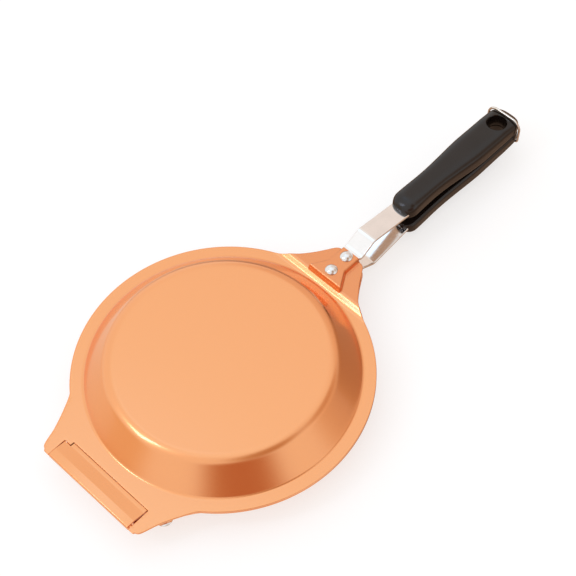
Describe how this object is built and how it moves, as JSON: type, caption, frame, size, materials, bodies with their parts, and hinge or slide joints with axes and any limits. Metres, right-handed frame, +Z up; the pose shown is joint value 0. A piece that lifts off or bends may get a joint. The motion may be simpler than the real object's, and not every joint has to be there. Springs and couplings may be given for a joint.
{
  "type": "double sided flip pan",
  "caption": "Two shallow round pans hinged rim to rim, with strap handles, waisted grips and a wire lock over the grips' ends.",
  "frame": {"origin": "centre of the lower pan's flat base, on the surface that the shut pan stands on", "axes": "+X runs from the hinge to the grips, +Z up through both dishes, +Y to the left of someone looking along +X"},
  "size_m": [0.4302, 0.21, 0.045],
  "materials": {
    "upper_copper": "copper-coloured non-stick coating, satin",
    "lower_copper": "copper-coloured non-stick coating, satin",
    "hinge_copper": "copper-coloured coating on pressed steel, satin",
    "strap_steel": "polished along its length",
    "rivet_steel": "bright domes",
    "wire_steel": "drawn stainless wire",
    "grip_plastic": "moulded phenolic, semi gloss"
  },
  "bodies": {
    "lower": {"lower_pan": "lower_copper", "hinge_leaf": "hinge_copper", "hinge_rivets": "rivet_steel", "lower_strap": "strap_steel", "lower_rivets": "rivet_steel", "lower_grip": "grip_plastic"},
    "upper": {"upper_pan": "upper_copper", "upper_strap": "strap_steel", "upper_rivets": "rivet_steel", "upper_grip": "grip_plastic"},
    "bail": {"lock_bail": "wire_steel"}
  },
  "joints": [
    {"name": "pan_hinge", "type": "hinge", "parent": "lower", "child": "upper", "pos_m": [-0.1213, 0, 0.0225], "axis": [0, -1, 0], "range_deg": [0, 180]},
    {"name": "bail_pivot", "type": "hinge", "parent": "lower", "child": "bail", "pos_m": [0.2961, 0, 0.0163], "axis": [0, 1, 0], "range_deg": [0, 110]}
  ]
}
